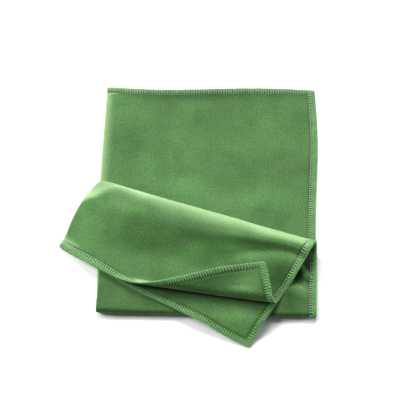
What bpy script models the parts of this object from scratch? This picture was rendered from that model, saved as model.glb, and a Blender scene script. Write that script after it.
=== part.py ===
"""A microfibre cloth, folded into quarters, with its upper half turned down again on a slant.

Blender 4.5, metres, +Z up. The cloth is one sheet. It is folded once across its width, so it
lies as a pair of layers whose left edge is that fold. The pair is folded again at its bottom
edge. The front pair then turns over a soft slanting roll and comes down as a flap, and the
flap's upper layer curls back over itself at its free corner.

The middle of the sheet is worked out first, on a grid of material positions: u runs across
the sheet from the left fold, with a positive u on the layer that ends on top, and v runs down
it from the top hem. Solidify then gives it its thickness.
"""

import math

import bpy
import numpy as np

MM = 0.001

# The sheet as it was cut.
CUT_WIDTH = 350 * MM
CUT_LENGTH = 372 * MM
THICKNESS = 1.0 * MM
LAYER_GAP = 0.5 * MM  # air between layers that lie flat on each other
HALF_WIDTH = CUT_WIDTH / 2
LAYER_PITCH = THICKNESS + LAYER_GAP
NEAR = LAYER_PITCH / 2  # from the middle of a pair to the middle of either layer

# The left fold, a soft hairpin.
SIDE_LOFT = 1.6 * MM  # its radius, at the middle of the sheet
SIDE_REACH = 22 * MM  # how far in the pair stays puffed up

# The back pair and the bottom fold.
BACK_HEIGHT = 197.7 * MM  # from the bottom fold to the top hem
BOTTOM_SLANT = 2.0 * MM  # how much lower the bottom fold is at its right end
FRONT_LEAN = 2 * math.atan(BOTTOM_SLANT / HALF_WIDTH)  # so the front pair leans to the right
BOTTOM_PUFF = 0.7 * MM  # how much wider the turn is than its layers need
BOTTOM_REACH = 26 * MM  # how far up the front pair stays lifted by that
TOP_WAVE = 1.3 * MM  # the top hem dips to the left of the middle and rises to the right of it
TOP_WAVE_REACH = 70 * MM

# The sheet isn't a true rectangle: its right hems and its left fold bow out here and there,
# and so does its last hem. The stations run down the sheet.
RIGHT_BOW = {
    "down": (0 * MM, 40 * MM, 115 * MM, 255 * MM, 305 * MM, 345 * MM, 372 * MM),
    "out": (0.8 * MM, 3.2 * MM, 0.8 * MM, 0.5 * MM, 3.0 * MM, 0.8 * MM, 0.6 * MM),
}
LEFT_BOW = {
    "down": (0 * MM, 230 * MM, 305 * MM, 332 * MM, 352 * MM, 372 * MM),
    "out": (0 * MM, 0 * MM, 2.6 * MM, 4.2 * MM, 3.4 * MM, 0.5 * MM),
}
LAST_HEM_BOW = {
    "across": (0 * MM, 30 * MM, 60 * MM, 100 * MM, 140 * MM, 175 * MM),
    "out": (1.3 * MM, 2.6 * MM, 3.8 * MM, 1.5 * MM, -0.5 * MM, -2.4 * MM),
}

# The slanting roll. Its line is where the front pair starts to rise.
ROLL_LEFT = 101.4 * MM  # height of that line at the left fold
ROLL_SLOPE = math.radians(16.3)
# Its cross-section at stations along it: the lower quarter reaches out and rises to the
# roll's edge, the upper quarter goes on to the crest, and the fall comes down to the flap.
ROLL_STATIONS = {
    "along": (-10 * MM, 50 * MM, 110 * MM, 150 * MM, 185 * MM),
    "lower_reach": (6.0 * MM, 6.5 * MM, 6.5 * MM, 6.5 * MM, 6.5 * MM),
    "lower_rise": (4.5 * MM, 5.5 * MM, 6.5 * MM, 7.5 * MM, 8.0 * MM),
    "upper_reach": (15.0 * MM, 16.0 * MM, 14.0 * MM, 12.0 * MM, 10.0 * MM),
    "upper_rise": (5.5 * MM, 6.5 * MM, 7.0 * MM, 7.0 * MM, 7.0 * MM),
    "fall": (28 * MM, 26 * MM, 20 * MM, 18 * MM, 16 * MM),
}

# The flap lies on the stack, and past the stack's edges it comes down to the surface.
FLAP_MIDDLE = THICKNESS / 2 + 5 * NEAR + 2 * LAYER_PITCH  # height of its pair's middle
FLOOR_CLEARANCE = 0.2 * MM
EDGE_CLEARANCE = 0.6 * MM  # more air where it goes over the stack's edges
DROP_START = 2 * MM
DROP_LEFT = 31 * MM
DROP_BOTTOM = 25 * MM
RIGHT_LIFT = 4.5 * MM  # how far the flap stays off the stack near its right hem
RIGHT_LIFT_FROM = 105 * MM  # across the sheet
RIGHT_LIFT_REACH = 70 * MM  # down from the roll's crest

# Soft creases: straight lines in plan, each a trough or a ridge that fades out at its ends
# and is level again at its reach to either side.
CREASE_COLUMNS = ("start", "end", "height", "reach")
FLAP_CREASES = [
    ((64 * MM, 68 * MM), (166 * MM, 57 * MM), -2.6 * MM, 14 * MM),
    ((58 * MM, 47 * MM), (160 * MM, 39 * MM), 2.2 * MM, 24 * MM),
    ((-18 * MM, 80 * MM), (82 * MM, 64 * MM), -0.9 * MM, 19 * MM),
]
FRONT_CREASES = [
    ((154 * MM, 45 * MM), (174 * MM, 26 * MM), 2.2 * MM, 10 * MM),
]

# The curl of the upper layer's free corner: a bend whose outer edge is a slanting line.
CURL_START = (40.5 * MM, 18.6 * MM)
CURL_SLOPE = math.radians(7.3)
CURL_BEND = {
    "along": (-45 * MM, -5 * MM, 28 * MM, 62 * MM, 140 * MM),
    "radius": (10 * MM, 8 * MM, 6.0 * MM, 4.4 * MM, 6.6 * MM),
}
CURL_TURN = math.radians(166)

# The grid: how many steps each stretch of the sheet gets.
ACROSS_STEPS = {"hairpin": 3, "puff": 4, "field": 13}
DOWN_STEPS = {
    "back": 11,
    "turn": 7,
    "puff": 4,
    "front": 9,
    "lower": 6,
    "upper": 7,
    "fall": 7,
    "flap": 21,
}
FALL_SLACK = 1.08  # the fall's path is this much longer than its reach
NUDGE = 0.05 * MM  # the step that finds the direction of the surface

CLOTH_GREEN = (0.115, 0.285, 0.095, 1.0)


def ease(x):
    """1 at x = 0, falling smoothly to 0 at x = 1, and level past both."""
    return (1 + np.cos(math.pi * np.clip(x, 0, 1))) / 2


def between(x, stations, values):
    """The value at x, passing smoothly from each station to the next."""
    stations = np.asarray(stations)
    step = np.clip(np.searchsorted(stations, x) - 1, 0, len(stations) - 2)
    share = 1 - ease((x - stations[step]) / (stations[step + 1] - stations[step]))
    values = np.asarray(values)
    return values[step] + (values[step + 1] - values[step]) * share


def half_gap(s):
    """From the middle of a pair to either of its layers, at s from the left fold."""
    return NEAR + (SIDE_LOFT - NEAR) * ease((s - SIDE_LOFT) / SIDE_REACH)


def hairpin(u):
    """The distance from the left fold, and that from the pair's middle with the layer's sign."""
    turn = SIDE_LOFT * math.pi / 2
    angle = np.clip(np.abs(u) / SIDE_LOFT, 0, math.pi / 2)
    past = np.maximum(np.abs(u) - turn, 0)
    across = SIDE_LOFT * (1 - np.cos(angle)) + past
    return across, np.sign(u) * np.sin(angle) * half_gap(across)


def bottom_turn(s):
    """The radius of the bottom fold at the pair's middle, and how far up its centre lies."""
    radius = half_gap(s) + NEAR + BOTTOM_PUFF
    slant = BOTTOM_SLANT * s / HALF_WIDTH
    return radius, radius + half_gap(s) + THICKNESS / 2 - slant


def creases(x, y, table):
    total = np.zeros_like(x)
    for row in table:
        crease = dict(zip(CREASE_COLUMNS, row))
        (start_x, start_y), (end_x, end_y) = crease["start"], crease["end"]
        run = math.hypot(end_x - start_x, end_y - start_y)
        along_x, along_y = (end_x - start_x) / run, (end_y - start_y) / run
        along = (x - start_x) * along_x + (y - start_y) * along_y
        aside = (y - start_y) * along_x - (x - start_x) * along_y
        past_end = np.abs(along - run / 2) - run / 2
        fade = ease((past_end + crease["reach"]) / (2 * crease["reach"]))
        total += crease["height"] * fade * ease(np.abs(aside) / crease["reach"])
    return total


def quarter_length(a, b):
    """The length of a quarter of an ellipse with half axes a and b."""
    return math.pi / 4 * (3 * (a + b) - np.sqrt((3 * a + b) * (a + 3 * b)))


def roll_section(along):
    values = {k: between(along, ROLL_STATIONS["along"], v) for k, v in ROLL_STATIONS.items()}
    lower = quarter_length(values["lower_reach"], values["lower_rise"])
    upper = quarter_length(values["upper_reach"], values["upper_rise"])
    return values, lower, upper


def front_start(s):
    """Where the front pair begins, measured down the sheet."""
    radius, centre = bottom_turn(s)
    return BACK_HEIGHT - centre + math.pi * radius


def front_plan(s, run):
    """The front pair's place in plan, a distance of run up from the bottom turn."""
    _, centre = bottom_turn(s)
    x = bowed(s, run + front_start(s))
    return x + run * math.sin(FRONT_LEAN), centre + run * math.cos(FRONT_LEAN)


def roll_frame(x, y):
    """Plan position as distances along the roll's line and across it."""
    cos, sin = math.cos(ROLL_SLOPE), math.sin(ROLL_SLOPE)
    return x * cos - (y - ROLL_LEFT) * sin, x * sin + (y - ROLL_LEFT) * cos


def flap_height(x, y, s):
    """The height of the middle of the flap's pair where it lies at rest."""
    inside_left = ease((-x - DROP_START) / DROP_LEFT)
    inside_bottom = ease((-y - DROP_START - BOTTOM_SLANT) / DROP_BOTTOM)
    floor = THICKNESS / 2 + half_gap(s) + FLOOR_CLEARANCE
    stack = THICKNESS / 2 + 4 * half_gap(x) + 2 * LAYER_PITCH + half_gap(s)
    near_left = ease((x + DROP_START) / SIDE_REACH)
    near_bottom = ease(y / BOTTOM_REACH)
    stack = stack + EDGE_CLEARANCE * near_left + creases(x, y, FLAP_CREASES)
    stack = stack + (EDGE_CLEARANCE + 2 * BOTTOM_PUFF) * near_bottom
    return floor + (stack - floor) * inside_left * inside_bottom


def curl_frame(x, y):
    """Plan position as distances along the curl and past the start of its bend."""
    cos, sin = math.cos(CURL_SLOPE), math.sin(CURL_SLOPE)
    x, y = x - CURL_START[0], y - CURL_START[1]
    along = x * cos - y * sin
    radius = between(along, *CURL_BEND.values())
    return along, radius - x * sin - y * cos, radius


def from_curl_frame(along, past, radius):
    cos, sin = math.cos(CURL_SLOPE), math.sin(CURL_SLOPE)
    past = past - radius
    return CURL_START[0] + along * cos - past * sin, CURL_START[1] - along * sin - past * cos


def bowed(s, v):
    """Where a material position lies across the pair once its edges bow out."""
    share = s / HALF_WIDTH
    right = between(v, *RIGHT_BOW.values())
    left = between(v, *LEFT_BOW.values())
    return s + right * share - left * (1 - share)


def back_middle(s, v):
    wave = np.sin(2 * math.pi * s / HALF_WIDTH) * ease(v / TOP_WAVE_REACH)
    height = THICKNESS / 2 + half_gap(s)
    return bowed(s, v), BACK_HEIGHT - v - TOP_WAVE * wave, height


def turn_middle(s, v):
    radius, centre = bottom_turn(s)
    angle = (v - BACK_HEIGHT + centre) / radius
    height = THICKNESS / 2 + half_gap(s) + radius * (1 - np.cos(angle))
    return bowed(s, v), centre - radius * np.sin(angle), height


def front_height(s, run):
    return (
        THICKNESS / 2
        + 3 * half_gap(s)
        + LAYER_PITCH
        + 2 * BOTTOM_PUFF * ease(run / BOTTOM_REACH)
    )


def front_middle(s, v):
    run = v - front_start(s)
    x, y = front_plan(s, run)
    return x, y, front_height(s, run) + creases(x, y, FRONT_CREASES)


def roll_middle(s, v, curled):
    run = v - front_start(s)
    flat_x, flat_y = front_plan(s, run)
    along, past = roll_frame(flat_x, flat_y)
    section, lower, upper = roll_section(along)
    base = front_height(s, run)

    lower_angle = np.clip(past / lower, 0, 1) * math.pi / 2
    upper_angle = np.clip((past - lower) / upper, 0, 1) * math.pi / 2
    crest = base + section["lower_rise"] + section["upper_rise"]
    slope = math.pi * (crest - FLAP_MIDDLE) / section["fall"]
    slack = 1 + slope**2 / 16
    fall_length = section["fall"] * slack
    beyond = np.maximum(past - lower - upper, 0)
    fallen = np.where(
        beyond < fall_length, beyond / slack, section["fall"] + beyond - fall_length
    )

    across = (
        section["lower_reach"] * np.sin(lower_angle)
        - section["upper_reach"] * (1 - np.cos(upper_angle))
        - fallen
    )
    cos, sin = math.cos(ROLL_SLOPE), math.sin(ROLL_SLOPE)
    x = along * cos + across * sin
    y = ROLL_LEFT - along * sin + across * cos
    rising = (
        base
        + section["lower_rise"] * (1 - np.cos(lower_angle))
        + section["upper_rise"] * np.sin(upper_angle)
    )
    rest_x, rest_y = x, y
    if curled:
        curl_along, curl_past, radius = curl_frame(x, y)
        curl_past = np.minimum(curl_past, 0)
        rest_x, rest_y = from_curl_frame(curl_along, curl_past, radius)
    rest = flap_height(rest_x, rest_y, s)
    lift = RIGHT_LIFT * (1 - ease((s - RIGHT_LIFT_FROM) / (HALF_WIDTH - RIGHT_LIFT_FROM)))
    rest = rest + lift * ease(fallen / RIGHT_LIFT_REACH)
    height = np.where(
        beyond > 0, rest + (crest - rest) * ease(fallen / section["fall"]), rising
    )
    return x, y, height


def pair_middle(s, v, curled):
    """The middle of a pair of layers. curled tells the layer whose corner curls."""
    _, centre = bottom_turn(s)
    turn_begins = BACK_HEIGHT - centre
    run = v - front_start(s)
    _, past_roll = roll_frame(*front_plan(s, run))
    stretches = (
        (v < turn_begins, back_middle(s, v)),
        (run < 0, turn_middle(s, v)),
        (past_roll < 0, front_middle(s, v)),
    )
    point = np.stack(np.broadcast_arrays(*roll_middle(s, v, curled)), -1)
    for where, other in reversed(stretches):
        other = np.stack(np.broadcast_arrays(*other), -1)
        point = np.where(where[..., None], other, point)
    return point


def curl(point, on_flap):
    """Bends what lies past the curl's line up and back over."""
    along, past, radius = curl_frame(point[..., 0], point[..., 1])
    angle = np.clip(past / radius, 0, CURL_TURN)
    straight = np.maximum(past - radius * CURL_TURN, 0)
    widening = (between(along + NUDGE, *CURL_BEND.values()) - radius) / NUDGE
    along = along + widening * (radius * angle**2 / 2 + straight * CURL_TURN)
    new_past = radius * np.sin(angle) + straight * math.cos(CURL_TURN)
    rise = radius * (1 - np.cos(angle)) + straight * math.sin(CURL_TURN)
    new_past = np.where(past > 0, new_past, past)
    x, y = from_curl_frame(along, new_past, radius)
    bent = np.stack([x, y, point[..., 2] + np.where(past > 0, rise, 0)], -1)
    return np.where(on_flap[..., None], bent, point)


def sheet_middle(u, v):
    """The middle of the sheet itself, for arrays of material positions."""
    s, offset = hairpin(u)
    curled = u > 0
    layers = []
    for on_top in (True, False):
        across = pair_middle(s + NUDGE, v, on_top) - pair_middle(s - NUDGE, v, on_top)
        down = pair_middle(s, v + NUDGE, on_top) - pair_middle(s, v - NUDGE, on_top)
        normal = np.cross(down, across)
        normal /= np.linalg.norm(normal, axis=-1, keepdims=True)
        layers.append(pair_middle(s, v, on_top) + normal * offset[..., None])
    run = v - front_start(s)
    along, past = roll_frame(*front_plan(s, run))
    _, lower, upper = roll_section(along)
    top_layer = curl(layers[0], past > lower + upper)
    return np.where(curled[..., None], top_layer, layers[1])


def across_positions():
    turn = SIDE_LOFT * math.pi / 2
    steps = [
        np.linspace(0, turn, ACROSS_STEPS["hairpin"], endpoint=False),
        np.linspace(turn, turn + SIDE_REACH, ACROSS_STEPS["puff"], endpoint=False),
        np.linspace(turn + SIDE_REACH, HALF_WIDTH, ACROSS_STEPS["field"] + 1),
    ]
    side = np.concatenate(steps)
    return np.concatenate([-side[:0:-1], side])


def down_positions(s):
    """Positions down the sheet at s from the left fold, denser at the folds."""
    radius, centre = bottom_turn(s)
    begins = BACK_HEIGHT - centre
    front = begins + math.pi * radius
    stretch = 1 / math.cos(ROLL_SLOPE - FRONT_LEAN)
    to_roll = -roll_frame(s, centre)[1] * stretch
    along = roll_frame(*front_plan(s, to_roll))[0]
    section, lower, upper = roll_section(np.asarray(along))
    marks = [0.0, begins, front, front + BOTTOM_REACH, front + to_roll]
    for length in (lower, upper, section["fall"] * FALL_SLACK):
        marks.append(marks[-1] + float(length) * stretch)
    marks.append(CUT_LENGTH + between(s, *LAST_HEM_BOW.values()))
    rows = [
        np.linspace(marks[i], marks[i + 1], steps, endpoint=False)
        for i, steps in enumerate(DOWN_STEPS.values())
    ]
    return np.concatenate([*rows, marks[-1:]])


def cloth_mesh():
    across = across_positions()
    u = np.repeat(across[:, None], sum(DOWN_STEPS.values()) + 1, axis=1)
    v = np.stack([down_positions(hairpin(position)[0]) for position in across])
    points = sheet_middle(u, v)
    columns, rows = u.shape
    index = np.arange(columns * rows).reshape(columns, rows)
    faces = np.stack(
        [index[:-1, :-1], index[1:, :-1], index[1:, 1:], index[:-1, 1:]], axis=-1
    ).reshape(-1, 4)
    mesh = bpy.data.meshes.new("cloth")
    mesh.from_pydata(points.reshape(-1, 3).tolist(), [], faces[:, ::-1].tolist())
    mesh.shade_smooth()
    return mesh


def cloth_material():
    material = bpy.data.materials.new("green_microfibre")
    material.use_nodes = True
    shader = material.node_tree.nodes["Principled BSDF"]
    shader.inputs["Base Color"].default_value = CLOTH_GREEN
    shader.inputs["Roughness"].default_value = 0.9
    shader.inputs["Metallic"].default_value = 0.0
    return material


def stand_on_origin(obj):
    """Moves the mesh so that the origin is under the middle of its box, at its lowest point."""
    bpy.context.view_layer.update()
    evaluated = obj.evaluated_get(bpy.context.evaluated_depsgraph_get())
    corners = np.array([vertex.co for vertex in evaluated.data.vertices])
    low, high = corners.min(axis=0), corners.max(axis=0)
    shift = [-(low[0] + high[0]) / 2, -(low[1] + high[1]) / 2, -low[2]]
    for vertex in obj.data.vertices:
        vertex.co = [vertex.co[i] + shift[i] for i in range(3)]


def build_cloth():
    obj = bpy.data.objects.new("cloth", cloth_mesh())
    bpy.context.scene.collection.objects.link(obj)
    obj.data.materials.append(cloth_material())
    solid = obj.modifiers.new("thickness", "SOLIDIFY")
    solid.thickness = THICKNESS
    solid.offset = 0
    solid.use_even_offset = False
    stand_on_origin(obj)
    return obj


def main():
    for old in list(bpy.data.objects):
        bpy.data.objects.remove(old)
    build_cloth()


main()
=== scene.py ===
# A microfibre cloth folded into quarters, its front half turned down on a slant and one corner curled back.
# Lengths are in millimetres in the dictionaries and the shape functions, and metres once they reach Blender.
import math

import bpy
import numpy as np
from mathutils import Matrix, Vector


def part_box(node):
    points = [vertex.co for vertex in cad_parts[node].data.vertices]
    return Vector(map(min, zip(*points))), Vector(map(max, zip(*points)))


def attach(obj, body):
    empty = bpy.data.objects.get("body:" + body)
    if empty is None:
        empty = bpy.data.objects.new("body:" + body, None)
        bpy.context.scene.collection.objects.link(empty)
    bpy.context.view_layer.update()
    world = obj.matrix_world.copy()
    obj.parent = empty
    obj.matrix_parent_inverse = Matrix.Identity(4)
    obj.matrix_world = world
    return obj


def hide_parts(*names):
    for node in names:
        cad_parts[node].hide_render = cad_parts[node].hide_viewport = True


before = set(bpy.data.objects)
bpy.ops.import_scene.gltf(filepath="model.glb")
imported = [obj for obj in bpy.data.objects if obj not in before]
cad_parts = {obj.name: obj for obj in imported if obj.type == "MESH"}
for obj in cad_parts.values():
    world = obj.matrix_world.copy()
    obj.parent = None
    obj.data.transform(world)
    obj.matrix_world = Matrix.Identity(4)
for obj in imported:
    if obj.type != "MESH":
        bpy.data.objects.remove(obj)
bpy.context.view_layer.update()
cadLow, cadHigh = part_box("cloth")
bpy.ops.object.select_all(action="DESELECT")
mm = 0.001
print("frame loaded")


def ease(x):
    # 1 at x = 0, falling smoothly to 0 at x = 1, level past both
    return (1 + np.cos(math.pi * np.clip(x, 0, 1))) / 2


def between(x, table, row):
    # the row's value at x, on a smooth curve through its stations
    stations, values = np.asarray(table["at"], float), np.asarray(table[row], float)
    slopes = np.gradient(values, stations)
    step = np.clip(np.searchsorted(stations, x) - 1, 0, len(stations) - 2)
    span = stations[step + 1] - stations[step]
    share = np.clip((x - stations[step]) / span, 0, 1)
    straight = values[step] + (values[step + 1] - values[step]) * share**2 * (3 - 2 * share)
    return straight + span * share * (1 - share) * ((1 - share) * slopes[step] - share * slopes[step + 1])


def settle(x, start, stop):
    # from 1 at x = 0 to 0 at x = 1 on a straight slope, with a bend at its start and a longer one at its end
    x = np.clip(x, 0, 1)
    down = np.where(x < start, x**2 / (2 * start), x - start / 2)
    down = down - np.maximum(x - 1 + stop, 0)**2 / (2 * stop)
    return 1 - down / (1 - start / 2 - stop / 2)


# u runs across the sheet from the left fold, plus on the layer that ends on top.
# v runs down from the top hem.
# s is the distance from the left fold, the same for both layers of the pair that the fold makes.
cloth = {
    "width": 350, "length": 377, "thickness": 1.0, "layerGap": 0.5, "smoothTo": 50,
    # left fold, a soft hairpin
    "sideLoft": 1.1, "sideReach": 34, "sideRound": 12,
    # back pair and bottom fold
    "backHeight": 198.9, "bottomOut": 2.2, "bottomSlant": 0.7, "bottomPuff": 0.7, "bottomReach": 26,
    "topWave": 1.3, "topWaveReach": 70,
    # how far the edges bow out, at stations down or across the sheet
    "rightBow": {
        "at": (0, 40, 115, 260, 307, 333, 350, 363, 377),
        "out": (0.6, 2.5, 0.1, 0.5, 2.3, 1.7, 1.7, 1.6, 1.6),
    },
    "leftBow": {
        "at": (0, 30, 80, 150, 235, 310, 337, 357, 377),
        "out": (0.3, 1.1, 2.3, 1.2, 0, -0.3, 1.0, 0.9, -1.6),
    },
    "lastHemBow": {
        "at": (0, 20, 45, 75, 100, 140, 158, 175),
        "out": (4.8, 5.0, 5.4, 4.2, 2.1, -1.9, -4.2, -6.6),
    },
    # the slanting roll: its cross-section at stations along it, and the slack of the cloth below its crest
    "rollLeft": 101.4, "rollSlope": 16.3, "fallSlack": 1.1,
    "roll": {
        "at": (-10, 8, 28, 60, 85, 110, 132, 154, 185),
        "lowerReach": (6.3, 6.3, 6.4, 6.5, 6.5, 6.5, 6.5, 6.5, 6.5),
        "lowerRise": (6.0, 6.0, 6.6, 6.5, 7.0, 7.6, 7.0, 7.5, 8.6),
        "upperReach": (19, 19.5, 19.5, 18.5, 17, 15, 12.5, 10, 9),
        "upperRise": (7.4, 7.6, 7.8, 7.8, 8.0, 7.8, 7.2, 6.6, 6.6),
        "flatness": (1.35, 1.35, 1.4, 1.45, 1.5, 1.5, 1.5, 1.45, 1.35),
        "fall": (37, 37, 38, 39, 35, 25, 14, 9, 8),
        "startBend": (0.2, 0.2, 0.15, 0.15, 0.15, 0.15, 0.2, 0.3, 0.4),
        "stopBend": (0.3, 0.3, 0.35, 0.45, 0.45, 0.4, 0.4, 0.5, 0.5),
    },
    # the flap, which comes down to the table past the edges of the stack
    "floorClearance": 0.2, "edgeClearance": 0.6, "dropStart": 2, "dropLeft": 28, "dropBottom": 25,
    "rightLift": 6.5, "rightLiftFrom": 90, "rightLiftReach": 43,
    # the curl of the free corner, whose creases begin a little past its bend
    "curlStart": (40.5, 18.6), "curlSlope": 7.3, "curlCreaseStart": 4,
    "curl": {
        "at": (-45, -5, 28, 62, 85, 110, 140),
        "radius": (10, 8, 6.4, 5.2, 5.8, 6.8, 7.4),
        "turn": (166, 164, 160, 163, 173, 178, 178),
    },
    # soft creases: from x, y to x, y, then height and reach to either side
    "curlCreases": [
        (134, 38, 142, 12, 3.0, 14),
        (108, 32, 118, 8, -1.8, 14),
    ],
    "flapCreases": [
        (74, 58.5, 122, 56.5, -0.8, 8),
        (112, 56.6, 155, 54.2, -0.4, 5),
        (150, 55.5, 164, 42, -0.5, 5),
        (70, 45, 160, 43, 2.2, 14),
        (149, 30, 153, 4, -2.6, 12),
        (28, 50, 104, 46, -0.8, 17),
    ],
    "frontCreases": [
        (158, 41, 169, 28, 3.0, 4.5),
        (156, 30, 164, 24, -1.0, 5),
        (148, 21, 168, 13, 1.6, 8),
    ],
    # grid steps on each stretch
    # the fall's run on a little past its end, and all stop short of the hem's own lines
    "acrossSteps": {"hairpin": 4, "puff": 14, "field": 70},
    "downSteps": {
        "back": 60, "turn": 9, "puff": 13, "front": 24, "lower": 8, "upper": 12, "fall": 12, "flap": 72,
    },
    "fallSpare": 1.08, "hemRoom": 3,
    "hemLines": (0, 0.8, 1.8, 3.0, 4.0, 4.6, 4.9, 5.2, 5.8, 6.6, 8.0),
    # the sewn edge is thicker than the cloth, so it lifts a little, and it puckers
    "hemLift": 0.2, "hemReach": 11, "pucker": 0.2, "puckerPitch": 12.5, "puckerCross": 1.7,
}
halfWidth = cloth["width"] / 2
layerPitch = cloth["thickness"] + cloth["layerGap"]
near = layerPitch / 2                    # from the middle of a pair to either of its layers
halfThick = cloth["thickness"] / 2
frontLean = 2 * math.atan(cloth["bottomSlant"] / halfWidth)
flapMiddleHeight = halfThick + 5 * near + 2 * layerPitch     # where all layers lie flat
rollSlope = math.radians(cloth["rollSlope"])
curlSlope = math.radians(cloth["curlSlope"])
nudge = 0.05                             # the step that finds the direction of the surface


def halfGap(s):
    # from the middle of a pair to either of its layers, wider beside the left fold
    return near + (cloth["sideLoft"] - near) * ease((s - cloth["sideLoft"]) / cloth["sideReach"])


def hairpin(u):
    # distance from the left fold, and from the pair's middle with the layer's sign
    loft = cloth["sideLoft"]
    angle = np.clip(np.abs(u) / loft, 0, math.pi / 2)
    past = np.maximum(np.abs(u) - loft * math.pi / 2, 0)
    across = loft * (1 - np.cos(angle)) + past
    rounded = np.sqrt(1 - (1 - np.clip(across / cloth["sideRound"], 0, 1))**2)
    return across, np.sign(u) * rounded * halfGap(across)


def bottomTurn(s):
    # radius of the bottom fold at the pair's middle, and how far up its centre lies
    radius = halfGap(s) + near + cloth["bottomPuff"]
    return radius, radius + halfGap(s) + halfThick - cloth["bottomOut"] - cloth["bottomSlant"] * s / halfWidth


def creases(x, y, rows):
    # the height that a list of soft creases adds
    total = np.zeros(np.broadcast(x, y).shape)
    for startX, startY, endX, endY, height, reach in rows:
        run = math.hypot(endX - startX, endY - startY)
        alongX, alongY = (endX - startX) / run, (endY - startY) / run
        along = (x - startX) * alongX + (y - startY) * alongY
        aside = (y - startY) * alongX - (x - startX) * alongY
        fade = ease((np.abs(along - run / 2) - run / 2 + reach) / (2 * reach))
        total = total + height * fade * ease(np.abs(aside) / reach)
    return total


def quarterLength(a, b):
    # length of a quarter of an ellipse
    return math.pi / 4 * (3 * (a + b) - np.sqrt((3 * a + b) * (a + 3 * b)))


def rollSection(along):
    # the roll's cross-section, and the lengths of the quarter turns under and over it
    section = {row: between(along, cloth["roll"], row) for row in cloth["roll"] if row != "at"}
    lower = quarterLength(section["lowerReach"], section["lowerRise"])
    upper = quarterLength(section["upperReach"], section["upperRise"])
    return section, lower, upper


def bowed(s, v):
    # where a point lies across the pair once its edges bow out
    share = s / halfWidth
    right, left = between(v, cloth["rightBow"], "out"), between(v, cloth["leftBow"], "out")
    return s + right * share - left * (1 - share)


def frontStart(s):
    # how far down the sheet the front panel begins
    radius, centre = bottomTurn(s)
    return cloth["backHeight"] - centre + math.pi * radius


def frontPlan(s, run):
    # where a point lies from above, this far up the front panel
    _, centre = bottomTurn(s)
    x = bowed(s, run + frontStart(s))
    return x + run * math.sin(frontLean), centre + run * math.cos(frontLean)


def rollFrame(x, y):
    # distances along the roll's line and across it
    cos, sin = math.cos(rollSlope), math.sin(rollSlope)
    y = y - cloth["rollLeft"]
    return x * cos - y * sin, x * sin + y * cos


def flapHeight(x, y, s):
    # height of the flap's middle where it lies at rest
    insideLeft = ease((-x - cloth["dropStart"]) / cloth["dropLeft"])
    insideBottom = ease((-y - cloth["dropStart"] - cloth["bottomOut"]) / cloth["dropBottom"])
    floor = halfThick + halfGap(s) + cloth["floorClearance"]
    nearLeft = ease((x + cloth["dropStart"]) / cloth["sideReach"])
    nearBottom = ease(y / cloth["bottomReach"])
    stack = halfThick + 4 * halfGap(x) + 2 * layerPitch + halfGap(s) + cloth["edgeClearance"] * nearLeft
    stack = stack + (cloth["edgeClearance"] + 2 * cloth["bottomPuff"]) * nearBottom
    stack = stack + creases(x, y, cloth["flapCreases"])
    return floor + (stack - floor) * insideLeft * insideBottom


def curlFrame(x, y):
    # distances along the curl and past the start of its bend, and the bend's radius
    cos, sin = math.cos(curlSlope), math.sin(curlSlope)
    x, y = x - cloth["curlStart"][0], y - cloth["curlStart"][1]
    along = x * cos - y * sin
    radius = between(along, cloth["curl"], "radius")
    return along, radius - x * sin - y * cos, radius


def fromCurlFrame(along, past, radius):
    # back from those distances to x and y
    cos, sin = math.cos(curlSlope), math.sin(curlSlope)
    past = past - radius
    return cloth["curlStart"][0] + along * cos - past * sin, cloth["curlStart"][1] - along * sin - past * cos


def backMiddle(s, v):
    # the middle of the pair on the back, then round the bottom fold and on the front
    wave = np.sin(2 * math.pi * s / halfWidth) * ease(v / cloth["topWaveReach"])
    x, y = bowed(s, v), cloth["backHeight"] - v - cloth["topWave"] * wave
    return x, y, halfThick + halfGap(s)


def turnMiddle(s, v):
    radius, centre = bottomTurn(s)
    angle = (v - cloth["backHeight"] + centre) / radius
    height = halfThick + halfGap(s) + radius * (1 - np.cos(angle))
    return bowed(s, v), centre - radius * np.sin(angle), height


def frontHeight(s, run):
    puff = 2 * cloth["bottomPuff"] * ease(run / cloth["bottomReach"])
    return halfThick + 3 * halfGap(s) + layerPitch + puff


def frontMiddle(s, v):
    run = v - frontStart(s)
    x, y = frontPlan(s, run)
    return x, y, frontHeight(s, run) + creases(x, y, cloth["frontCreases"])


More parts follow.
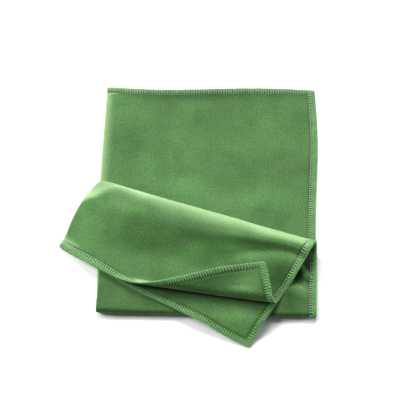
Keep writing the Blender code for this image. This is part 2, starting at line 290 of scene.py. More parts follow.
def rollMiddle(s, v, curled):
    # the roll, and the flap that comes down from it
    run = v - frontStart(s)
    along, past = rollFrame(*frontPlan(s, run))
    section, lower, upper = rollSection(along)
    base = frontHeight(s, run)
    # up round the roll and over to its crest
    lowerAngle = np.clip(past / lower, 0, 1) * math.pi / 2
    upperAngle = np.clip((past - lower) / upper, 0, 1) * math.pi / 2
    forward, upward = np.cos(upperAngle)**section["flatness"], np.sin(upperAngle)**section["flatness"]
    crest = base + section["lowerRise"] + section["upperRise"]
    # then down with a little slack, and on over the layers
    liftFrom = cloth["rightLiftFrom"]
    lift = cloth["rightLift"] * (1 - ease((s - liftFrom) / (halfWidth - liftFrom)))
    slack = np.hypot(1, cloth["fallSlack"] * (crest - flapMiddleHeight - lift) / section["fall"])
    beyond = np.maximum(past - lower - upper, 0)
    fallLength = section["fall"] * slack
    fallen = np.where(beyond < fallLength, beyond / slack, section["fall"] + beyond - fallLength)
    across = section["lowerReach"] * np.sin(lowerAngle) - section["upperReach"] * (1 - forward) - fallen
    cos, sin = math.cos(rollSlope), math.sin(rollSlope)
    x, y = along * cos + across * sin, cloth["rollLeft"] - along * sin + across * cos
    rising = base + section["lowerRise"] * (1 - np.cos(lowerAngle)) + section["upperRise"] * upward
    # what the curl will bend up rests at the height where its bend starts
    restX, restY = x, y
    if curled:
        curlAlong, curlPast, radius = curlFrame(x, y)
        restX, restY = fromCurlFrame(curlAlong, np.minimum(curlPast, 0), radius)
    rest = flapHeight(restX, restY, s) + lift * ease(fallen / cloth["rightLiftReach"])
    falling = settle(fallen / section["fall"], section["startBend"], section["stopBend"])
    return x, y, np.where(beyond > 0, rest + (crest - rest) * falling, rising)


def pairMiddle(s, v, curled):
    # the middle of a pair of layers
    _, centre = bottomTurn(s)
    run = v - frontStart(s)
    _, pastRoll = rollFrame(*frontPlan(s, run))
    point = np.stack(np.broadcast_arrays(*rollMiddle(s, v, curled)), -1)
    stretches = [
        (pastRoll < 0, frontMiddle(s, v)),
        (run < 0, turnMiddle(s, v)),
        (v < cloth["backHeight"] - centre, backMiddle(s, v)),
    ]
    for where, other in stretches:
        point = np.where(where[..., None], np.stack(np.broadcast_arrays(*other), -1), point)
    return point


def curlOver(point, onFlap):
    # bends what lies past the curl's line up and back
    along, past, radius = curlFrame(point[..., 0], point[..., 1])
    turn = np.radians(between(along, cloth["curl"], "turn"))
    angle = np.clip(past / radius, 0, turn)
    straight = np.maximum(past - radius * turn, 0)
    widening = (between(along + nudge, cloth["curl"], "radius") - radius) / nudge
    along = along + widening * (radius * angle**2 / 2 + straight * turn)
    newPast = np.where(past > 0, radius * np.sin(angle) + straight * np.cos(turn), past)
    rise = radius * (1 - np.cos(angle)) + straight * np.sin(turn)
    x, y = fromCurlFrame(along, newPast, radius)
    rise = rise + creases(x, y, cloth["curlCreases"]) * np.clip(straight / cloth["curlCreaseStart"], 0, 1)
    bent = np.stack([x, y, point[..., 2] + np.where(past > 0, rise, 0)], -1)
    return np.where(onFlap[..., None], bent, point)


def lastHemAt(u):
    # how far down the sheet its last hem lies
    return cloth["length"] + between(hairpin(u)[0], cloth["lastHemBow"], "out")


def fromEdge(u, v):
    # distance from the nearest hem
    return np.minimum.reduce(np.broadcast_arrays(halfWidth - np.abs(u), v, lastHemAt(u) - v))


def sheetMiddle(u, v):
    # the middle of the sheet itself
    s, offset = hairpin(u)
    layers = []
    for onTop in (True, False):
        across = pairMiddle(s + nudge, v, onTop) - pairMiddle(s - nudge, v, onTop)
        down = pairMiddle(s, v + nudge, onTop) - pairMiddle(s, v - nudge, onTop)
        normal = np.cross(down, across)
        normal /= np.linalg.norm(normal, axis=-1, keepdims=True)
        layers.append(pairMiddle(s, v, onTop) + normal * offset[..., None])
    along, past = rollFrame(*frontPlan(s, v - frontStart(s)))
    _, lower, upper = rollSection(along)
    topLayer = curlOver(layers[0], past > lower + upper)
    point = np.where((u > 0)[..., None], topLayer, layers[1])
    turns = 2 * math.pi / cloth["puckerPitch"]
    waves = np.sin(turns * (u + v)) + np.sin(turns * (u - v) / cloth["puckerCross"])
    lift = (cloth["hemLift"] + cloth["pucker"] * (waves + 1) / 3) * ease(fromEdge(u, v) / cloth["hemReach"])
    return point + lift[..., None] * np.array([0, 0, 1])


def sheetNormal(u, v):
    # points out of the face that shows on the back panel and on top of the flap
    across = sheetMiddle(u + nudge, v) - sheetMiddle(u - nudge, v)
    down = sheetMiddle(u, v + nudge) - sheetMiddle(u, v - nudge)
    normal = np.cross(down, across)
    return normal / np.linalg.norm(normal, axis=-1, keepdims=True)


def acrossPositions():
    # the grid's lines across the sheet, denser at the left fold and the hems
    steps, hem = cloth["acrossSteps"], np.asarray(cloth["hemLines"], float)
    turn = cloth["sideLoft"] * math.pi / 2
    side = np.concatenate([
        np.linspace(0, turn, steps["hairpin"], endpoint=False),
        np.linspace(turn, turn + cloth["sideReach"], steps["puff"], endpoint=False),
        np.linspace(turn + cloth["sideReach"], halfWidth - hem[-1], steps["field"], endpoint=False),
        halfWidth - hem[::-1],
    ])
    return np.concatenate([-side[:0:-1], side])


def downPositions(u):
    # its lines down the sheet, denser at the folds, which slant across it
    s, hem = hairpin(u)[0], np.asarray(cloth["hemLines"], float)
    radius, centre = bottomTurn(s)
    begins = cloth["backHeight"] - centre
    front = begins + math.pi * radius
    stretch = 1 / math.cos(rollSlope - frontLean)
    toRoll = -rollFrame(s, centre)[1] * stretch
    along = rollFrame(*frontPlan(s, toRoll))[0]
    section, lower, upper = rollSection(np.asarray(along))
    marks = [hem[-1], begins, front, front + cloth["bottomReach"], front + toRoll]
    end = float(lastHemAt(u))
    for length in (lower, upper, section["fall"] * cloth["fallSpare"]):
        marks.append(min(marks[-1] + float(length) * stretch, end - hem[-1] - cloth["hemRoom"]))
    marks.append(end - hem[-1])
    rows = []
    for start, stop, steps in zip(marks, marks[1:], cloth["downSteps"].values()):
        rows.append(np.linspace(start, stop, steps, endpoint=False))
    return np.concatenate([hem[:-1], *rows, end - hem[::-1]])


# how thick the sheet is from its edge inwards, and how much painted shade lies along the seam: the needle
# line pulls it thin
hemProfile = {
    "at": (0, 1.0, 3.6, 4.9, 6.1, 8.0),
    "thick": (0.5, 0.66, 0.7, 0.5, 1.12, 1.0),
    "seamShading": (0.4, 0.5, 0.9, 1.0, 0.5, 0.0),
}

# painted light and shade at soft places, after the photograph: u, v, reach across and down, change
litShadedPlaces = [
    # back panel
    (8, 8, 24, 16, 0.16), (84, 6, 80, 12, -0.30), (88, 6, 90, 6, -0.13), (160, 8, 36, 7, -0.15),
    (3, 4.5, 16, 3.0, -0.38), (45, 14, 42, 24, -0.12), (94, 34, 48, 26, -0.16), (20, 60, 22, 42, -0.16),
    (62, 88, 36, 16, 0.26), (118, 99, 60, 16, 0.20),
    # roll and flap, left to right
    (2, 322, 17, 14, -0.30), (16, 348, 46, 28, 0.50), (34, 328, 40, 18, 0.12), (40, 312, 36, 10, 0.20),
    (66, 320, 44, 12, -0.12), (80, 344, 100, 24, 0.14), (95, 327, 42, 15, 0.14), (114, 312, 34, 9, 0.10),
    (114, 326, 44, 13, 0.20), (130, 310, 34, 15, 0.54), (136, 295, 44, 20, 0.20), (172, 292, 18, 12, 0.44),
    (163, 317, 17, 15, -0.30),
    # curl
    (122, 373, 28, 15, -0.22), (160, 361, 19, 17, 0.60),
    # corner of the lower layer
    (-160, 366, 34, 26, 0.90),
    # front panel with painted shade, and a painted shadow inside the roll's right end
    (-6, 213, 16, 28, -0.24), (-32, 205, 40, 20, -0.14), (-156, 206, 26, 18, -0.20),
    (-163, 238.5, 8.5, 9, -0.44), (-168, 242.5, 6, 9, -0.38),
]


def readPoints(mesh, what):
    # the places or the normals of a mesh's points
    values = np.zeros(len(mesh.vertices) * 3, np.float32)
    mesh.vertices.foreach_get(what, values)
    return values.reshape(-1, 3)


def placePoints(mesh, points):
    # moves a mesh's points to their places in the part
    mesh.vertices.foreach_set("co", ((points + toPart) * mm).reshape(-1).astype(np.float32))
    mesh.update()


def storeOnPoints(mesh, name, values):
    attribute = mesh.attributes.new(name, "FLOAT", "POINT")
    attribute.data.foreach_set("value", values.reshape(-1).astype(np.float32))


def storeUV(mesh, name, places):
    # a place on the flat material for each point
    corner = np.zeros(len(mesh.loops), np.int32)
    mesh.loops.foreach_get("vertex_index", corner)
    layer = mesh.uv_layers[0] if mesh.uv_layers else mesh.uv_layers.new()
    layer.name = name
    mesh.uv_layers[name].data.foreach_set("uv", (places[corner] * mm).reshape(-1).astype(np.float32))


across = acrossPositions()
gridU = np.repeat(across[:, None], len(downPositions(across[0])), axis=1)
gridV = np.stack([downPositions(u) for u in across])
gridPoints = sheetMiddle(gridU, gridV)

# the folds were worked out from the bottom fold's left end, and the part's origin is under its middle
gridLow, gridHigh = gridPoints.reshape(-1, 3).min(0), gridPoints.reshape(-1, 3).max(0)
cadMiddle = (cadLow + cadHigh) / 2 / mm
toPart = np.array([
    cadMiddle[0] - (gridLow[0] + gridHigh[0]) / 2,
    cadMiddle[1] - (gridLow[1] + gridHigh[1]) / 2,
    cadLow[2] / mm - gridLow[2] + halfThick,
])
print("sheet worked out, moved by", [round(float(x), 3) for x in toPart])

columns, rows = gridU.shape
bpy.ops.mesh.primitive_grid_add(x_subdivisions=rows - 1, y_subdivisions=columns - 1, size=1, calc_uvs=True)
sheet = bpy.context.object
sheet.name = sheet.data.name = "clothSheet"
mesh = sheet.data
placePoints(mesh, gridPoints)
storeUV(mesh, "flat", np.stack([gridU + halfWidth, gridV], -1).reshape(-1, 2))

# distance from the left fold, for a painted highlight along it on the outer layer alone, so the inner one
# counts as far from it
storeOnPoints(mesh, "fromFold", np.where(gridU < 0, halfWidth, hairpin(gridU)[0]))
inFrom = fromEdge(gridU, gridV).reshape(-1)
# painted shade along the seam, as a share on each point
storeOnPoints(mesh, "seam", between(inFrom, hemProfile, "seamShading"))
# painted light and shade at the listed places, as a level on each point
litShadedLevel = np.ones(gridU.shape)
for placeU, placeV, reachU, reachV, change in litShadedPlaces:
    litShadedLevel += change * ease(np.hypot((gridU - placeU) / reachU, (gridV - placeV) / reachV))
storeOnPoints(mesh, "litShadedPlaces", litShadedLevel)

mostThick = max(hemProfile["thick"])
levels = np.round(between(inFrom, hemProfile, "thick") / mostThick, 3)
group = sheet.vertex_groups.new(name="thickness")
for level in np.unique(levels):
    group.add(np.flatnonzero(levels == level).tolist(), float(level), "REPLACE")

solid = sheet.modifiers.new("thickness", "SOLIDIFY")
solid.thickness = cloth["thickness"] * mostThick * mm
solid.offset = 0
solid.use_even_offset = False
solid.vertex_group = "thickness"
bpy.ops.object.modifier_apply(modifier=solid.name)
bpy.ops.object.shade_smooth_by_angle(angle=math.radians(cloth["smoothTo"]))

# how far the cloth faces the light from the back left: a painted highlight where it faces it, painted shade
# where it faces away, and a painted highlight along the side fold
paintedLightFacing = {"towardsLight": (-0.5, 0.84, 0), "foldHighlight": 0.25, "foldReach": 20}
lightFacingLevel = readPoints(mesh, "normal") @ np.array(paintedLightFacing["towardsLight"], np.float32)
fromFold = np.zeros(len(mesh.vertices), np.float32)
mesh.attributes["fromFold"].data.foreach_get("value", fromFold)
lightFacingLevel = lightFacingLevel + paintedLightFacing["foldHighlight"] * ease(fromFold / paintedLightFacing["foldReach"])
storeOnPoints(mesh, "lightFacing", lightFacingLevel)
print("sheet made:", len(sheet.data.polygons), "faces")


# The overlocked edge: one stitch lies flat along x, its inward side along y, and copies are wrapped round.
# Each thread's path is half a stitch, which the other half mirrors: share of the pitch, inward, up, width.
# Its painted light and shade stand at even steps along each hem, in the order it is sewn, and follow the
# photograph.
overlock = {"pitch": 2.08, "flatten": 0.69}
looperThread = {
    "radius": 0.33,
    # fans out round the edge and narrows to the needle line
    "path": [
        (0.00, 4.4, -0.38, 0.6), (0.03, 3.3, -0.66, 0.8), (0.18, 2.4, -0.76, 0.95), (0.20, 0.4, -0.56, 1.0),
        (0.20, -0.42, 0.0, 1.15), (0.21, 0.4, 0.58, 1.2), (0.27, 2.2, 0.90, 1.1), (0.45, 3.7, 0.74, 0.95),
        (0.50, 5.3, 0.34, 0.75),
    ],
    "litShadeLevels": {
        "top": (0.7, 0.7, 0.7, 0.72, 1.02, 0.76, 0.77, 0.78, 0.8),
        "right": (1.14, 1.14, 1.11, 1.15, 1.25, 0.94),
        "last": (0.72, 0.9, 1.32, 1.2, 1.1, 1.1),
        "under": (1.05, 1.05, 1.35, 0.8, 1.0, 1.0, 1.0),
    },
}
needleThread = {
    "radius": 0.24,
    "path": [(0.13, 4.75, -0.1, 0.9), (0.24, 4.78, 0.68, 1.1), (0.5, 4.8, 0.9, 1.25)],
    "litShadeLevels": {
        "top": (0.48, 0.55),
        "right": (0.88, 0.88, 0.88, 0.9, 1.0, 0.76),
        "last": (0.72, 0.9, 1.32, 1.2, 1.1, 1.1),
        "under": (1.05, 1.05, 1.1, 0.65, 1.0, 1.0, 1.0),
    },
}


def stitchShape(name, thread):
    # one stitch as a thin tube, flattened as soft thread lies
    bpy.ops.object.select_all(action="DESELECT")
    bpy.ops.curve.primitive_nurbs_path_add()
    stitch = bpy.context.object
    stitch.name = name
    curve = stitch.data
    curve.splines.clear()
    spline = curve.splines.new("POLY")
    path = thread["path"] + [(1 - share, *rest) for share, *rest in thread["path"][-2::-1]]
    spline.points.add(len(path) - 1)
    for point, (share, inward, up, width) in zip(spline.points, path):
        point.co = (share * overlock["pitch"], inward, up, 1)
        point.radius = width
    curve.dimensions = "3D"
    curve.bevel_depth = thread["radius"]
    curve.bevel_resolution = 0
    curve.use_fill_caps = True
    bpy.ops.object.convert(target="MESH")
    bpy.ops.transform.resize(value=(1, 1, overlock["flatten"]))
    bpy.ops.object.transform_apply(location=True, rotation=True, scale=True)
    return stitch


def hemPlaces(hem, along, inward):
    # where on the flat sheet a point lies along one of the four hems
    if hem == "top":
        return along - halfWidth, inward
    if hem == "right":
        return halfWidth - inward, along
    if hem == "last":
        return halfWidth - along, lastHemAt(halfWidth - along) - inward
    return inward - halfWidth, float(lastHemAt(-halfWidth)) - along


def sewRound(name, thread):
    # copies a stitch along each hem, wraps the copies onto the sheet and joins the four runs
    stitch = stitchShape(name, thread)
    runs = []
    for hem, litShadeLevels in thread["litShadeLevels"].items():
        length = cloth["width"] if hem in ("top", "last") else float(lastHemAt(halfWidth))
        bpy.ops.object.select_all(action="DESELECT")
        stitch.select_set(True)
        bpy.context.view_layer.objects.active = stitch
        bpy.ops.object.duplicate()
        run = bpy.context.object
        count = round(length / overlock["pitch"])
        row = run.modifiers.new("row", "ARRAY")
        row.count = count
        row.use_relative_offset = False
        row.use_constant_offset = True
        row.constant_offset_displace = (length / count, 0, 0)
        bpy.ops.object.modifier_apply(modifier=row.name)
        flat = readPoints(run.data, "co").astype(float)
        u, v = hemPlaces(hem, flat[:, 0], flat[:, 1])
        placePoints(run.data, sheetMiddle(u, v) + sheetNormal(u, v) * flat[:, 2:3])
        storeUV(run.data, "laid", flat[:, :2])
        # painted light and shade along the hem, as a level on each point
        stations = np.linspace(0, 1, len(litShadeLevels))
        storeOnPoints(run.data, "hemLitShade", np.interp(flat[:, 0] / length, stations, litShadeLevels))
        runs.append(run)
    bpy.data.objects.remove(stitch)
    bpy.ops.object.select_all(action="DESELECT")
    for run in runs:
        run.select_set(True)
    bpy.context.view_layer.objects.active = runs[0]
    bpy.ops.object.join()
    thread = bpy.context.object
    thread.name = thread.data.name = name
    bpy.ops.object.shade_smooth()
    bpy.ops.object.mode_set(mode="EDIT")
    bpy.ops.mesh.select_all(action="SELECT")
    bpy.ops.mesh.normals_make_consistent(inside=False)
    bpy.ops.object.mode_set(mode="OBJECT")
    return thread


looper = sewRound("looperThread", looperThread)
needle = sewRound("needleThread", needleThread)
print("edge sewn:", len(looper.data.polygons), "and", len(needle.data.polygons), "faces")


def addNode(tree, kind, place, **values):
    # each value goes to the socket or the setting of its name
    node = tree.nodes.new(kind)
    node.location = place
    for name, value in values.items():
        if name in node.inputs:
            node.inputs[name].default_value = value
        else:
            setattr(node, name, value)
    return node


def plug(tree, value, socket):
    # a socket is linked, and anything else is set
    if isinstance(value, bpy.types.NodeSocket):
        tree.links.new(value, socket)
    else:
        socket.default_value = value


def mathNode(tree, place, operation, *values):
    node = addNode(tree, "ShaderNodeMath", place)
    node.operation = operation
    for value, socket in zip(values, node.inputs):
        plug(tree, value, socket)
    return node.outputs[0]


def spreadNode(tree, place, value, fromLow, fromHigh, low, high):
    node = addNode(tree, "ShaderNodeMapRange", place, interpolation_type="SMOOTHSTEP")
    for socket, setting in zip(node.inputs, (value, fromLow, fromHigh, low, high)):
        plug(tree, setting, socket)
    return node.outputs[0]


def mixColour(tree, place, blend, share, first, second):
    node = addNode(tree, "ShaderNodeMix", place, data_type="RGBA", blend_type=blend)
    plug(tree, share, node.inputs["Factor"])
    plug(tree, first, node.inputs[6])
    plug(tree, second, node.inputs[7])
    return node.outputs[2]


def colourRamp(tree, place, share, stops):
    ramp = addNode(tree, "ShaderNodeValToRGB", place)
    tree.links.new(share, ramp.inputs[0])
    elements = ramp.color_ramp.elements
    while len(elements) < len(stops):
        elements.new(0.5)
    for element, (position, colour) in zip(elements, stops):
        element.position = position
        element.color = (*colour, 1)
    return ramp.outputs["Color"]


def attributeNode(tree, place, name):
    return addNode(tree, "ShaderNodeAttribute", place, attribute_name=name).outputs["Fac"]


def newGroup(name, takes, gives):
    # a group that takes a vector and the named values
    group = bpy.data.node_groups.new(name, "ShaderNodeTree")
    group.interface.new_socket(name="Vector", in_out="INPUT", socket_type="NodeSocketVector")
    for label, start in takes.items():
        socket = group.interface.new_socket(name=label, in_out="INPUT", socket_type="NodeSocketFloat")
        socket.default_value = start
    for label in gives:
        group.interface.new_socket(name=label, in_out="OUTPUT", socket_type="NodeSocketFloat")
    take = addNode(group, "NodeGroupInput", (-900, 0)).outputs
    give = addNode(group, "NodeGroupOutput", (900, 0)).inputs
    return group, take, give


def placeGroup(tree, group, place, vector, **values):
    node = addNode(tree, "ShaderNodeGroup", place, node_tree=group)
    tree.links.new(vector, node.inputs["Vector"])
    for name, value in values.items():
        node.inputs[name].default_value = value
    return node.outputs


def fibreGrainGroup():
    # fine mottle of short fibres, coarse and fine together
    finer, coarseShare, fineShare = 2.7, 1.2, 0.8
    group, take, give = newGroup("fibreGrain", {"Scale": 800.0, "Amount": 0.2}, ["Shade", "Height"])
    coarse = addNode(group, "ShaderNodeTexNoise", (-600, 200), Detail=2.0, Roughness=0.6)
    fine = addNode(group, "ShaderNodeTexNoise", (-600, -200), Detail=2.0, Roughness=0.7, Distortion=0.5)
    for noise in (coarse, fine):
        group.links.new(take["Vector"], noise.inputs["Vector"])
    group.links.new(take["Scale"], coarse.inputs["Scale"])
    group.links.new(mathNode(group, (-800, -250), "MULTIPLY", take["Scale"], finer), fine.inputs["Scale"])
    finePart = mathNode(group, (-300, -200), "MULTIPLY", fine.outputs[0], fineShare)
    both = mathNode(group, (-100, 0), "MULTIPLY_ADD", coarse.outputs[0], coarseShare, finePart)
    group.links.new(mathNode(group, (100, -200), "MULTIPLY", both, 0.5), give["Height"])
    centred = mathNode(group, (100, 100), "SUBTRACT", both, 1.0)
    strength = mathNode(group, (300, 0), "MULTIPLY", take["Amount"], 2.0)
    group.links.new(mathNode(group, (500, 100), "MULTIPLY_ADD", centred, strength, 1.0), give["Shade"])
    return group


def slowPatchGroup():
    # broad soft patches, where the pile lies one way or another
    group, take, give = newGroup("slowPatches", {"Scale": 35.0, "Amount": 0.1}, ["Shade", "Patch"])
    noise = addNode(group, "ShaderNodeTexNoise", (-600, 100), Detail=3.0, Roughness=0.55, Distortion=0.35)
    group.links.new(take["Vector"], noise.inputs["Vector"])
    group.links.new(take["Scale"], noise.inputs["Scale"])
    spread = spreadNode(group, (-300, 100), noise.outputs[0], 0.3, 0.7, 0, 1)
    group.links.new(spread, give["Patch"])
    centred = mathNode(group, (0, 0), "SUBTRACT", spread, 0.5)
    strength = mathNode(group, (200, -100), "MULTIPLY", take["Amount"], 2.0)
    group.links.new(mathNode(group, (400, 0), "MULTIPLY_ADD", centred, strength, 1.0), give["Shade"])
    return group


def fineRibGroup():
    # even ribs along y that wander a little: the knit's wales, and the plies of the thread
    wanderScale, mostTurns = 90.0, 4.0
    takes = {"Pitch": 0.002, "Wander": 0.3, "Amount": 0.05}
    group, take, give = newGroup("fineRibs", takes, ["Shade", "Height"])
    split = addNode(group, "ShaderNodeSeparateXYZ", (-700, 200))
    group.links.new(take["Vector"], split.inputs[0])
    noise = addNode(group, "ShaderNodeTexNoise", (-700, -100), Scale=wanderScale, Detail=1.0)
    group.links.new(take["Vector"], noise.inputs["Vector"])
    turns = mathNode(group, (-450, 200), "DIVIDE", split.outputs[0], take["Pitch"])
    wander = mathNode(group, (-450, -100), "MULTIPLY", take["Wander"], mostTurns)
    drift = mathNode(group, (-250, 100), "MULTIPLY_ADD", noise.outputs[0], wander, turns)
    wave = mathNode(group, (150, 100), "SINE", mathNode(group, (-50, 100), "MULTIPLY", drift, 2 * math.pi))
    group.links.new(mathNode(group, (450, -50), "MULTIPLY_ADD", wave, 0.5, 0.5), give["Height"])
    group.links.new(mathNode(group, (450, 150), "MULTIPLY_ADD", wave, take["Amount"], 1.0), give["Shade"])
    return group


fibreGrain, slowPatches, fineRibs = fibreGrainGroup(), slowPatchGroup(), fineRibGroup()


def newMaterial(name, finish):
    # a material whose plain shader values are set by socket name
    material = bpy.data.materials.new(name)
    material.use_nodes = True
    shader = material.node_tree.nodes["Principled BSDF"]
    for socket, value in finish.items():
        shader.inputs[socket].default_value = value
    return material, material.node_tree, shader


fabric = {
    "deep": (0.045, 0.110, 0.032), "middle": (0.051, 0.125, 0.037), "bright": (0.058, 0.144, 0.042),
    "greyed": (0.060, 0.118, 0.045), "greyShare": 0.5,
    "patchScale": 34, "greyScale": 62, "greyAmount": 0.05,
    "grainScale": 700, "grainAmount": 0.5,
    "walePitch": 0.00205, "waleWander": 0.35, "waleAmount": 0.05, "waleHeight": 0.25,
    "bump": 0.35, "bumpDepth": 0.0004,
    # painted shade along the seam and where the cloth faces away from the light: darker and stronger in
    # colour
    "seamShade": 0.25, "awayShadeFullAt": -0.45, "awayShade": 0.2, "awayShadeSaturation": 0.4,
    # painted sheen where the cloth turns from view, and a painted highlight where it faces the light
    "sheenHighlightColour": (0.27, 0.42, 0.20), "glanceFrom": 0.10, "glanceTo": 0.62, "glance": 0.13,
    "litHighlightFrom": 0.16, "litHighlightTo": 0.50, "litHighlight": 0.84, "sheenHighlightMost": 0.68,
    "finish": {
        "Roughness": 0.92, "Specular IOR Level": 0.15,
        "Sheen Weight": 0.14, "Sheen Roughness": 0.4, "Sheen Tint": (0.95, 1.0, 0.85, 1),
    },
}


def clothMaterial():
    material, tree, shader = newMaterial("brushedMicrofibre", fabric["finish"])
    flat = addNode(tree, "ShaderNodeUVMap", (-1700, 0), uv_map="flat").outputs["UV"]
    patches = placeGroup(tree, slowPatches, (-1400, 400), flat, Scale=fabric["patchScale"])
    greys = placeGroup(
        tree, slowPatches, (-1400, 200), flat, Scale=fabric["greyScale"], Amount=fabric["greyAmount"])
    grain = placeGroup(
        tree, fibreGrain, (-1400, -50), flat, Scale=fabric["grainScale"], Amount=fabric["grainAmount"])
    wales = placeGroup(
        tree, fineRibs, (-1400, -300), flat,
        Pitch=fabric["walePitch"], Wander=fabric["waleWander"], Amount=fabric["waleAmount"])
    greens = [(0.1, fabric["deep"]), (0.5, fabric["middle"]), (0.9, fabric["bright"])]
    colour = colourRamp(tree, (-1100, 450), patches["Patch"], greens)
    greyShare = mathNode(tree, (-950, 200), "MULTIPLY", greys["Patch"], fabric["greyShare"])
    colour = mixColour(tree, (-750, 400), "MIX", greyShare, colour, (*fabric["greyed"], 1))
    # grain and wales, then painted shade along the seam and where the cloth faces away from the light
    seam = attributeNode(tree, (-1400, -550), "seam")
    lightFacingLevel = attributeNode(tree, (-1400, -750), "lightFacing")
    seamShading = mathNode(tree, (-1150, -550), "MULTIPLY_ADD", seam, -fabric["seamShade"], 1.0)
    awayShading = spreadNode(tree, (-1150, -750), lightFacingLevel, fabric["awayShadeFullAt"], 0, 1 - fabric["awayShade"], 1)
    shade = mathNode(tree, (-1150, 0), "MULTIPLY", grain["Shade"], wales["Shade"])
    shade = mathNode(tree, (-950, -100), "MULTIPLY", shade, greys["Shade"])
    seamAndAwayShade = mathNode(tree, (-950, -650), "MULTIPLY", seamShading, awayShading)
    shade = mathNode(tree, (-750, -200), "MULTIPLY", shade, seamAndAwayShade)
    depth = fabric["awayShadeSaturation"]
    toned = addNode(tree, "ShaderNodeHueSaturation", (-500, 350))
    tree.links.new(colour, toned.inputs["Color"])
    saturation = mathNode(tree, (-750, 200), "MULTIPLY_ADD", awayShading, -depth, 1 + depth)
    tree.links.new(saturation, toned.inputs["Saturation"])
    tree.links.new(shade, toned.inputs["Value"])
    height = mathNode(
        tree, (-950, -350), "MULTIPLY_ADD", wales["Height"], fabric["waleHeight"], grain["Height"])
    bump = addNode(
        tree, "ShaderNodeBump", (-700, -400), Strength=fabric["bump"], Distance=fabric["bumpDepth"])
    tree.links.new(height, bump.inputs["Height"])
    tree.links.new(bump.outputs["Normal"], shader.inputs["Normal"])
    # painted sheen and highlight, then the painted light and shade of the listed places
    facing = addNode(tree, "ShaderNodeLayerWeight", (-700, 100), Blend=0.5)
    tree.links.new(bump.outputs["Normal"], facing.inputs["Normal"])
    glance = spreadNode(
        tree, (-500, 100), facing.outputs["Facing"],
        fabric["glanceFrom"], fabric["glanceTo"], 0, fabric["glance"])
    # painted highlight where the cloth faces the light
    litHighlightShare = spreadNode(tree, (-500, -50), lightFacingLevel, fabric["litHighlightFrom"], fabric["litHighlightTo"], 0, fabric["litHighlight"])
    sheenAndHighlight = mathNode(tree, (-400, 50), "ADD", glance, litHighlightShare)
    sheenAndHighlight = mathNode(tree, (-300, 100), "MINIMUM", sheenAndHighlight, fabric["sheenHighlightMost"])
    highlighted = mixColour(tree, (-150, 300), "MIX", sheenAndHighlight, toned.outputs["Color"], (*fabric["sheenHighlightColour"], 1))
    # painted light and shade of the listed places
    litShadedTone = addNode(tree, "ShaderNodeHueSaturation", (50, 300))
    tree.links.new(highlighted, litShadedTone.inputs["Color"])
    tree.links.new(attributeNode(tree, (-150, 100), "litShadedPlaces"), litShadedTone.inputs["Value"])
    tree.links.new(litShadedTone.outputs["Color"], shader.inputs["Base Color"])
    return material


threads = {
    "looperColour": (0.122, 0.29, 0.096), "needleColour": (0.28, 0.33, 0.30),
    "plyPitch": 0.0006, "plyTurn": 35, "plyWander": 0.05, "plyAmount": 0.16, "plyHeight": 0.7,
    "grainScale": 2400, "grainAmount": 0.35, "patchScale": 120, "patchAmount": 0.12,
    "bump": 0.5, "bumpDepth": 0.00012,
    "finish": {"Roughness": 0.6, "Specular IOR Level": 0.3, "Sheen Weight": 0.15},
}


def threadMaterial(name, colour):
    # twisted filament thread: its plies run slanting across it
    material, tree, shader = newMaterial(name, threads["finish"])
    laid = addNode(tree, "ShaderNodeUVMap", (-1500, 0), uv_map="laid").outputs["UV"]
    turned = addNode(tree, "ShaderNodeMapping", (-1300, 0))
    turned.inputs["Rotation"].default_value = (0, 0, math.radians(threads["plyTurn"]))
    tree.links.new(laid, turned.inputs["Vector"])
    place = addNode(tree, "ShaderNodeTexCoord", (-1500, -300)).outputs["Object"]
    plies = placeGroup(
        tree, fineRibs, (-1000, 200), turned.outputs[0],
        Pitch=threads["plyPitch"], Wander=threads["plyWander"], Amount=threads["plyAmount"])
    grain = placeGroup(
        tree, fibreGrain, (-1000, -50), place, Scale=threads["grainScale"], Amount=threads["grainAmount"])
    patches = placeGroup(
        tree, slowPatches, (-1000, -300), place, Scale=threads["patchScale"], Amount=threads["patchAmount"])
    shade = mathNode(tree, (-700, 100), "MULTIPLY", plies["Shade"], grain["Shade"])
    shade = mathNode(tree, (-500, 0), "MULTIPLY", shade, patches["Shade"])
    # painted light and shade along each hem
    shade = mathNode(tree, (-400, 0), "MULTIPLY", shade, attributeNode(tree, (-700, -400), "hemLitShade"))
    toned = addNode(tree, "ShaderNodeHueSaturation", (-300, 100), Color=(*colour, 1))
    tree.links.new(shade, toned.inputs["Value"])
    tree.links.new(toned.outputs["Color"], shader.inputs["Base Color"])
    height = mathNode(
        tree, (-600, -200), "MULTIPLY_ADD", plies["Height"], threads["plyHeight"], grain["Height"])
    bump = addNode(
        tree, "ShaderNodeBump", (-300, -200), Strength=threads["bump"], Distance=threads["bumpDepth"])
    tree.links.new(height, bump.inputs["Height"])
    tree.links.new(bump.outputs["Normal"], shader.inputs["Normal"])
    return material


sheet.data.materials.append(clothMaterial())
looper.data.materials.append(threadMaterial("looperGreen", threads["looperColour"]))
needle.data.materials.append(threadMaterial("needleGrey", threads["needleColour"]))
print("materials made")

for piece in (sheet, looper, needle):
    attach(piece, "root")
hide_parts("cloth")

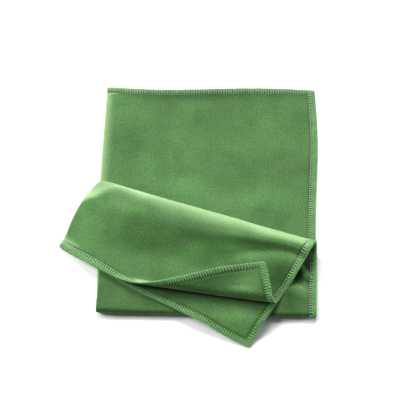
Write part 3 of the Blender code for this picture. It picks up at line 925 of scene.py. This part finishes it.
studio = {
    "tableSize": 6.0, "tableDrop": 0.35,
    "tableFinish": {"Base Color": (0.9, 0.9, 0.9, 1), "Roughness": 0.9, "Specular IOR Level": 0.0},
    "fillColour": (1.0, 1.0, 1.0, 1), "fillStrength": 0.12,
    # broad soft lights: turn from the back, height above the table, distance, size, power
    "lights": {
        "keyLight": (-5, 46, 1.4, 0.75, 30.6),
        "sideLight": (-76, 35, 1.4, 0.65, 27.0),
        "rimLight": (80, 12, 1.4, 0.5, 14.0),
    },
}
bpy.ops.object.select_all(action="DESELECT")
bpy.ops.mesh.primitive_plane_add(size=studio["tableSize"], location=(0, 0, -studio["tableDrop"] * mm))
bpy.ops.object.transform_apply(location=True)
table = bpy.context.object
table.name = table.data.name = "table"
table.data.materials.append(newMaterial("tableWhite", studio["tableFinish"])[0])

world = bpy.data.worlds.new("softFill")
world.use_nodes = True
fill = world.node_tree.nodes["Background"]
fill.inputs["Color"].default_value = studio["fillColour"]
fill.inputs["Strength"].default_value = studio["fillStrength"]
bpy.context.scene.world = world

for name, (turn, height, distance, size, power) in studio["lights"].items():
    turn, height = math.radians(turn), math.radians(height)
    towardsLight = Vector((math.sin(turn) * math.cos(height), math.cos(turn) * math.cos(height), math.sin(height)))
    bpy.ops.object.light_add(type="AREA", location=distance * towardsLight)
    light = bpy.context.object
    light.name = name
    light.data.size = size
    light.data.energy = power
    light.rotation_euler = (-towardsLight).to_track_quat("-Z", "Y").to_euler()

shot = {
    "lookAt": (86.83, 90.88), "elevation": 68, "turn": 0.97, "distance": 1.135,
    "lens": 119.5, "sensor": 36, "farthest": 20,
}
lookAt = Vector(((shot["lookAt"][0] + toPart[0]) * mm, (shot["lookAt"][1] + toPart[1]) * mm, 0))
turn, elevation = math.radians(shot["turn"]), math.radians(shot["elevation"])
outward = math.cos(elevation)
away = Vector((math.sin(turn) * outward, -math.cos(turn) * outward, math.sin(elevation)))
bpy.ops.object.camera_add(
    location=lookAt + away * shot["distance"], rotation=(math.pi / 2 - elevation, 0, turn))
camera = bpy.context.object
camera.data.lens = shot["lens"]
camera.data.sensor_width = shot["sensor"]
camera.data.clip_end = shot["farthest"]
bpy.context.scene.camera = camera
bpy.context.scene.view_settings.view_transform = "Standard"
print("table, light and camera set")
